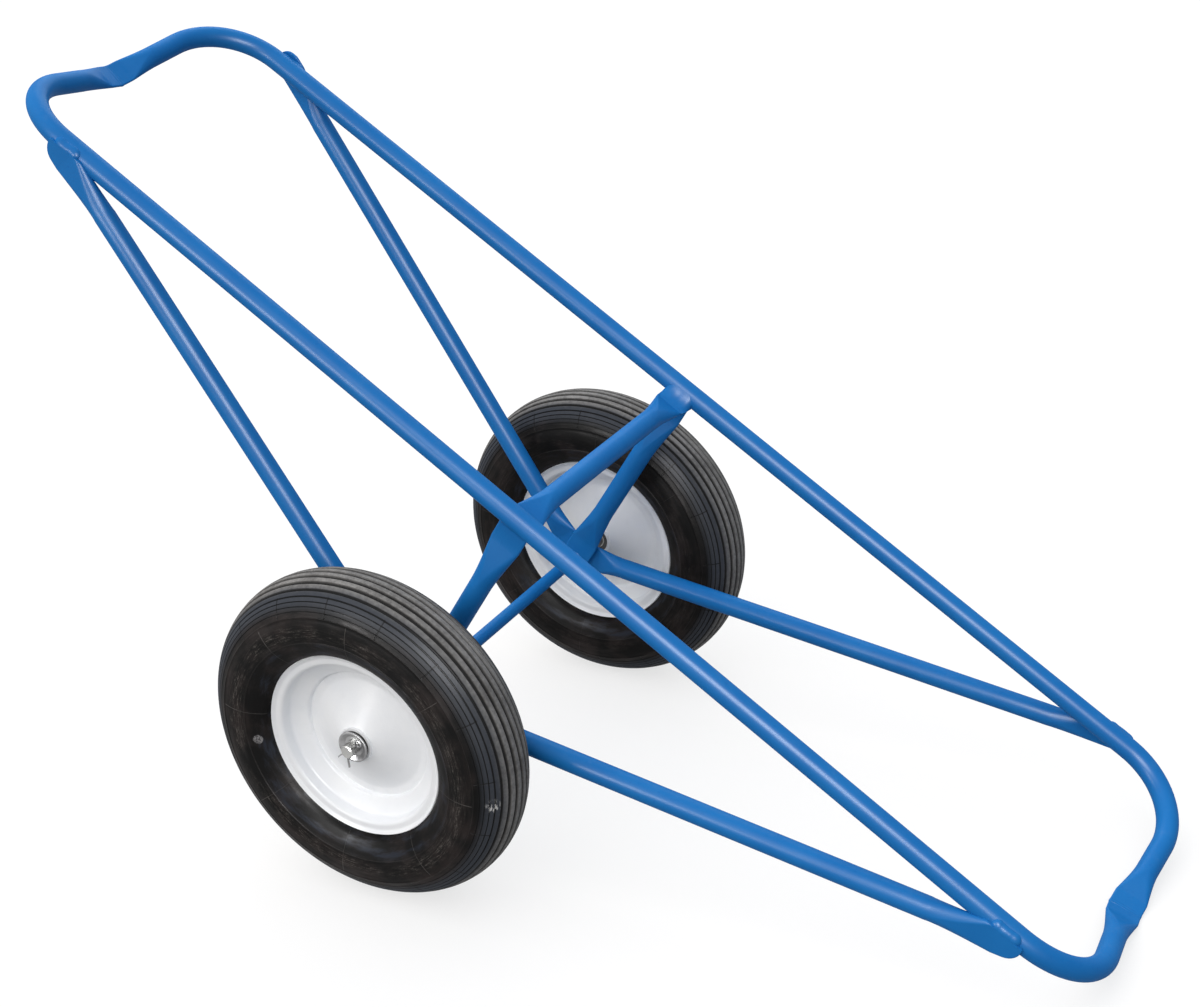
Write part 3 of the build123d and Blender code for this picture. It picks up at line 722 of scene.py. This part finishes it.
outerY = legY + flat["thick"] / 2 + beadLook["hoop"] / 4
outerZ = railSizes["rise"] - tube["od"] / 2 - beadLook["hoop"] / 2
outerEnds = (Vector((-flat["half"], outerY, outerZ)), Vector((flat["half"], outerY, outerZ)))
outerBead = beadRings(*outerEnds, beadLook["hoop"], beadLook["hoopSeed"])
hoopBeads = bothSides(drawn(outerBead, drawn(rampRings())))
addPiece(hoopBeads, "hoopBeads", blue, "frame", ["hoop_welds"], beadLook["sharp"])

seamLook = {"lift": 0.3, "width": 6.0, "wave": 0.12, "ripple": 0.25, "sway": 0.9, "cuts": 14}


def seamRings(side):
    look = seamLook
    tilt = radians(railSizes["tilt"])
    across = Vector((cos(tilt), 0, side * sin(tilt)))
    normal = Vector((-side * sin(tilt), 0, cos(tilt)))
    rings = []
    for t in steps(look["cuts"]):
        y = look["width"] * (t - 0.5)
        lift = look["lift"] * sqrt(max(1 - (2 * t - 1) ** 2, 0.0))
        drop = railSizes["dip"] * (1 - abs(y) / railY)
        middle = Vector((side * railSizes["half"], y, railSizes["rise"] - drop))
        ring = []
        for u, v in squeezed(flat["thick"] + 2 * lift, barWidth(side) + 2 * lift):
            ripple = look["ripple"] * sin(2 * pi * u / beadLook["pitch"] + look["sway"] * y)
            wave = look["wave"] * lift * (1 + ripple)
            ring.append(middle + across * u + normal * (v + (wave if v > 0 else -wave)))
        rings.append(ring)
    return rings


seams = drawn(seamRings(1), drawn(seamRings(-1)))
addPiece(seams, "endBarSeams", blue, "frame", ["end_bar_seams"], beadLook["sharp"])
print("welds made")


# Wheels
wheelSizes = {"y": 274.0, "lipRadius": 114.3, "seat": 101.6}
tyreSizes = {
    "od": 402.0, "width": 101.0, "around": 168, "sharp": 42.0,
    "grooves": [                                   # degrees from the crown, half width and depth in mm
        (0.0, 2.1, 3.2), (11.5, 2.1, 3.2), (23.0, 2.0, 3.0), (34.0, 1.6, 2.6),
        (43.0, 0.9, 1.6), (50.0, 0.6, 1.2), (56.5, 0.5, 0.9), (62.5, 0.45, 0.7),
    ],
    "grooveShape": [(1.25, 0.0), (1.0, 0.18), (0.8, 0.85), (0.55, 1.0)],      # shares of width and depth
    "wall": (68, 133, 3), "ridge": 0.35, "ridges": (69.6, 70.4, 103.4, 104.6), "footTurn": 135.0,
    "lipFoot": [(0.9, 34.2), (-1.2, 30.6), (-3.8, 28.6)], "seatFoot": (4.0, 27.6),
}


def tyreProfile():
    size = tyreSizes["width"] / 2
    centre = tyreSizes["od"] / 2 - size
    shape = tyreSizes["grooveShape"]
    shape = [(-share, deep) for share, deep in shape] + shape[::-1]
    marks = []
    for turn, half, depth in tyreSizes["grooves"]:
        w = half / size * 180 / pi
        for sign in ((1,) if turn == 0 else (-1, 1)):
            marks += [(sign * (turn + share * w), deep * depth, deep) for share, deep in shape]
    first, last, gap = tyreSizes["wall"]
    marks += [(sign * a, 0.0, 0.0) for sign in (-1, 1) for a in range(first, last + 1, gap)]
    marks += [(sign * a, -tyreSizes["ridge"], 0.0) for sign in (-1, 1) for a in tyreSizes["ridges"]]
    marks.sort()
    points = []
    for angle, depth, sunk in marks:
        r = size - depth
        points.append((centre + r * cos(radians(angle)), r * sin(radians(angle)), angle, sunk))
    foot = [(wheelSizes["lipRadius"] + r, s) for r, s in tyreSizes["lipFoot"]]
    foot.append((wheelSizes["seat"] + tyreSizes["seatFoot"][0], tyreSizes["seatFoot"][1]))
    tail = [(r, s, tyreSizes["footTurn"], 0.0) for r, s in foot if r < points[-1][0]]
    return [(r, -s, -a, d) for r, s, a, d in reversed(tail)] + points + tail


def makeTyrePiece(side, name):
    profile = tyreProfile()
    values = {"section": [a for r, s, a, d in profile], "groove": [d for r, s, a, d in profile]}
    shape = [(r, s) for r, s, a, d in profile]
    tyre = turned(shape, side * wheelSizes["y"], tyreSizes["around"], False, values)
    rubber = makeTyre(name + "TyreRubber", side)
    addPiece(tyre, name + "Tyre", rubber, "wheel_" + name, ["tyre_" + name], tyreSizes["sharp"])


def arcPoints(points, radii, cuts=7):
    path = [points[0]]
    for k in range(1, len(points) - 1):
        a, b, c = (Vector(points[k + d]) for d in (-1, 0, 1))
        u, w = (a - b).normalized(), (c - b).normalized()
        angle = u.angle(w)
        radius = radii[k - 1]
        cut = radius / tan(angle / 2)
        hub = b + (u + w).normalized() * (radius / sin(angle / 2))
        first, final = b + u * cut - hub, b + w * cut - hub
        turn = pi - angle
        for t in steps(cuts):
            path.append(tuple(hub + (first * sin((1 - t) * turn) + final * sin(t * turn)) / sin(turn)))
    return path + [points[-1]]


def directions(path):
    ends = zip(path[:1] + path[:-1], path[1:] + path[-1:])
    return [(Vector(after) - Vector(before)).normalized() for before, after in ends]


rimSizes = {
    "lipHalf": 33.0, "flangeHalf": 28.9, "sheet": 1.8, "ledgeHalf": 15.0, "wellRadius": 82.0, "wellHalf": 6.0,
    "discFlat": 70.0, "hubHalf": 27.8, "hubOd": 38.1, "hubGap": 0.1, "halfGap": 0.05,
    "rounds": [3, 2, 3, 2, 1, 6, 1],               # in sheets
    "wellDirt": (78.0, 5.0), "hubDirt": (23.0, 4.0, 0.8), "around": 128, "sharp": 40.0,
}


def rimProfile():
    rim = rimSizes
    lip = wheelSizes["lipRadius"]
    sheet = rim["sheet"]
    collar = rim["hubOd"] / 2 + rim["hubGap"] + sheet / 2
    base = rim["halfGap"] + sheet / 2
    seat = wheelSizes["seat"] - sheet / 2
    points = [
        (lip - sheet / 2, rim["lipHalf"] - sheet / 2), (lip - 3 * sheet, rim["flangeHalf"]),
        (seat, rim["flangeHalf"]), (seat - sheet / 2, rim["ledgeHalf"]),
        (rim["wellRadius"] - sheet / 2, rim["wellHalf"]), (rim["wellRadius"] - sheet, base),
        (rim["discFlat"], base), (collar, rim["hubHalf"] - 2 * sheet), (collar, rim["hubHalf"]),
    ]
    path = arcPoints(points, [count * sheet for count in rim["rounds"]])
    outer, inner = [], []
    for point, along in zip(path, directions(path)):
        out = Vector((-along.y, along.x)) * (sheet / 2)
        outer.append(tuple(Vector(point) + out))
        inner.append(tuple(Vector(point) - out))
    return outer + inner[::-1]


def makeRims(side, name):
    profile = rimProfile()
    well, wellSpan = rimSizes["wellDirt"]
    hub, hubSpan, hubShare = rimSizes["hubDirt"]
    values = {"hollow": []}
    for r, s in profile:
        dirt = exp(-((r - well) / wellSpan) ** 2) + exp(-((r - hub) / hubSpan) ** 2) * hubShare
        values["hollow"].append(min(dirt, 1.0))
    for half, sign in (("Outer", side), ("Inner", -side)):
        shape = [(r, sign * s) for r, s in profile]
        rim = turned(shape, side * wheelSizes["y"], rimSizes["around"], True, values)
        replaced = [f"rim_{half.lower()}_{name}"]
        addPiece(rim, f"{name}Rim{half}", white, "wheel_" + name, replaced, rimSizes["sharp"])


for side, name in ((-1, "left"), (1, "right")):
    makeTyrePiece(side, name)
    makeRims(side, name)
print("wheels made")

# Split pins, as one half-round wire each
pinSizes = {
    "y": 309.55, "wire": 1.35, "gap": 0.05, "eye": 3.4, "eyeHigh": 13.2, "eyeLow": 0.45, "neck": 8.9,
    "axle": 8.14, "turn": 18.0, "eyeRounds": [3.2, 2.2, 1.8], "legRounds": [3.5, 30.0], "around": 12,
    "straight": [(-3.0, 17.3)], "bent": [(46.0, 10.5), (55.0, 11.0)],      # degrees from the shank, mm
}


def pinRings():
    size = pinSizes
    eye, high, wire = size["eye"], size["eyeHigh"], size["wire"]
    turn = radians(size["turn"])
    halves = []
    for side, legs in ((-1, size["straight"]), (1, size["bent"])):
        points = [(0, high + eye), (eye, high + eye), (eye, high - size["eyeLow"] * eye)]
        points += [(size["gap"], size["neck"]), (size["gap"], -size["axle"])]
        for spread, length in legs:
            u, w = points[-1]
            points.append((u + length * sin(radians(spread)), w - length * cos(radians(spread))))
        path = arcPoints(points, size["eyeRounds"] + size["legRounds"][: len(legs)])
        rings = []
        for (u, w), along in zip(path, directions(path)):
            ring = []
            for a in steps(size["around"], -pi / 2, pi / 2):
                across = side * (u - along.y * wire * cos(a))
                upward = w + along.x * wire * cos(a)
                x, z = across * cos(turn) + upward * sin(turn), upward * cos(turn) - across * sin(turn)
                ring.append(Vector((x, size["y"] + wire * sin(a), z)))
            rings.append(ring)
        halves.append(rings)
    return halves[0][::-1] + halves[1][1:]


addPiece(drawn(pinRings()), "splitPinRight", zinc, "frame", ["split_pin_right"])
addPiece(otherSide(drawn(pinRings())), "splitPinLeft", zinc, "frame", ["split_pin_left"])
print("split pins made")

# CAD pieces that stay, with their finishes
finishes = {
    "axle": axlePaint, "axle_welds": blue, "spacer": zinc, "washer": zinc, "hub": white,
    "bearing_outer": bearingSteel, "bearing_inner": bearingSteel,
    "valve_stem": stemRubber, "valve_cap": capPlastic, "inner_tube": stemRubber,
}
for name, node in nodes.items():
    base = name.removesuffix("_left").removesuffix("_right")
    if base in finishes:
        node.data.materials.clear()
        node.data.materials.append(finishes[base])
print("finishes set")

# Camera, from the photograph
shot = {
    "place": (368.352, -1756.609, 1636.561), "right": (0.76192, 0.48655, 0.42749),
    "ahead": (-0.15091, 0.77524, -0.61338), "focus": 1963.61, "width": 1200, "sensor": 36.0, "far": 100.0,
}
camera = bpy.data.objects.new("photoCamera", bpy.data.cameras.new("photoCamera"))
bpy.context.scene.collection.objects.link(camera)
bpy.context.scene.camera = camera
camera.data.sensor_width = shot["sensor"]
camera.data.lens = shot["focus"] * shot["sensor"] / shot["width"]
camera.data.clip_end = shot["far"]
back = -Vector(shot["ahead"]).normalized()
right = (Vector(shot["right"]) - back * back.dot(Vector(shot["right"]))).normalized()
turn = Matrix((right, back.cross(right), back)).transposed().to_4x4()
camera.matrix_world = Matrix.Translation(toMetres @ Vector(shot["place"])) @ standing.to_3x3().to_4x4() @ turn


def seenRays(tree):
    path = tree.nodes.new("ShaderNodeLightPath")
    kinds = ("Is Camera Ray", "Is Glossy Ray", "Is Transmission Ray")
    seen, glossy, through = (Wire(tree, path.outputs[kind]) for kind in kinds)
    return seen.math("MAXIMUM", glossy).math("MAXIMUM", through)


# Room light
light = {
    "sky": 0.8, "ground": 0.06, "horizon": (-0.25, 0.75), "frontDim": 0.5, "frontSpan": (0.1, 0.9),
    "key": 1.1, "keySpan": (0.2, 1.0), "flashShare": 0.45, "keyLift": 0.25,
    "fill": 0.75, "fillSpan": (0.1, 0.9), "fillWay": (-0.5, 0.8, 0.3),
    "skyTint": shade(0.84, 0.965, 1.12), "litTint": shade(1.03, 1.0, 0.97), "white": shade(1.0, 1.0, 1.0),
    "aim": (0.0, 0.0, 0.4), "flash": (0.0, 0.2, 0.0), "side": (-0.95, -2.5, 1.33), "back": (-1.1, 1.8, 2.0),
}
aim = Vector(light["aim"])
flashPlace = camera.matrix_world @ Vector(light["flash"])      # just above the camera
sidePlace = Vector(light["side"])
backPlace = Vector(light["back"])
flashWay = (flashPlace - aim).normalized() * light["flashShare"]
keyWay = (flashWay + (sidePlace - aim).normalized() + Vector((0, 0, light["keyLift"]))).normalized()
fillWay = Vector(light["fillWay"]).normalized()
world = bpy.data.worlds.new("paleRoom")
bpy.context.scene.world = world
world.use_nodes = True
tree = world.node_tree
way = Wire(tree, tree.nodes.new("ShaderNodeTexCoord").outputs["Generated"])
level = way.part(2).between(*light["horizon"]) * (light["sky"] - light["ground"]) + light["ground"]
level = level * (1.0 - way.part(0).between(*light["frontSpan"]) * light["frontDim"])
key = way.vector("DOT_PRODUCT", keyWay, output=1).between(*light["keySpan"])
fill = way.vector("DOT_PRODUCT", fillWay, output=1).between(*light["fillSpan"])
level = level + key * light["key"] + fill * light["fill"]
tint = (key + fill).between(0.0, 1.0).blend(light["skyTint"], light["litTint"])
seen = seenRays(tree)
sky = tree.nodes["Background"]
tree.links.new((seen + (1.0 - seen) * level).socket, sky.inputs["Strength"])
tree.links.new(seen.blend(tint, light["white"]).socket, sky.inputs["Color"])

# Cards that only give a gloss
cards = {
    "flashCard": {"place": flashPlace, "wide": 1.2, "shine": 84.0, "tone": (1.0, 1.0, 1.0)},
    "sideCard": {"place": sidePlace, "wide": 0.9, "shine": 84.0, "tone": (1.0, 1.0, 1.0)},
    "backCard": {"place": backPlace, "wide": 2.2, "shine": 4.0, "tone": (0.75, 0.9, 1.0)},
}
for name, card in cards.items():
    lamp = bpy.data.lights.new(name, "AREA")
    lamp.shape = "DISK"
    lamp.size = card["wide"]
    lamp.color = card["tone"]
    lamp.energy = card["shine"] * pi * pi * card["wide"] ** 2 / 4
    obj = bpy.data.objects.new(name, lamp)
    bpy.context.scene.collection.objects.link(obj)
    obj.location = card["place"]
    obj.rotation_euler = (aim - card["place"]).to_track_quat("-Z", "Y").to_euler()
    obj.visible_diffuse = False                       # the room gives the light

# Floor, dim for the bounce and pale to the eye
floorLook = {
    "size": 20.0, "cuts": 4, "bounce": shade(0.22, 0.22, 0.22), "shown": shade(0.95, 0.95, 0.95),
    "glow": shade(1.0, 1.0, 1.0), "glowShare": 0.7,
}
floorMesh = bpy.data.meshes.new("paleFloor")
bm = bmesh.new()
bmesh.ops.create_grid(bm, x_segments=floorLook["cuts"], y_segments=floorLook["cuts"], size=floorLook["size"])
bm.to_mesh(floorMesh)
bm.free()
floor = bpy.data.objects.new("paleFloor", floorMesh)
bpy.context.scene.collection.objects.link(floor)
floorPaint = bpy.data.materials.new("paleFloor")
floorPaint.use_nodes = True
tree = floorPaint.node_tree
tree.nodes.clear()
output = tree.nodes.new("ShaderNodeOutputMaterial")
seen = seenRays(tree)
matt = seen.add("ShaderNodeBsdfDiffuse", {"Color": seen.blend(floorLook["bounce"], floorLook["shown"])})
glow = seen.add("ShaderNodeEmission", {"Color": floorLook["glow"], "Strength": 1.0})
mixed = seen.add("ShaderNodeMixShader", {0: seen * floorLook["glowShare"], 1: matt, 2: glow})
tree.links.new(mixed.socket, output.inputs["Surface"])
floorMesh.materials.append(floorPaint)

bpy.context.scene.view_settings.view_transform = "Standard"
print("stage set")
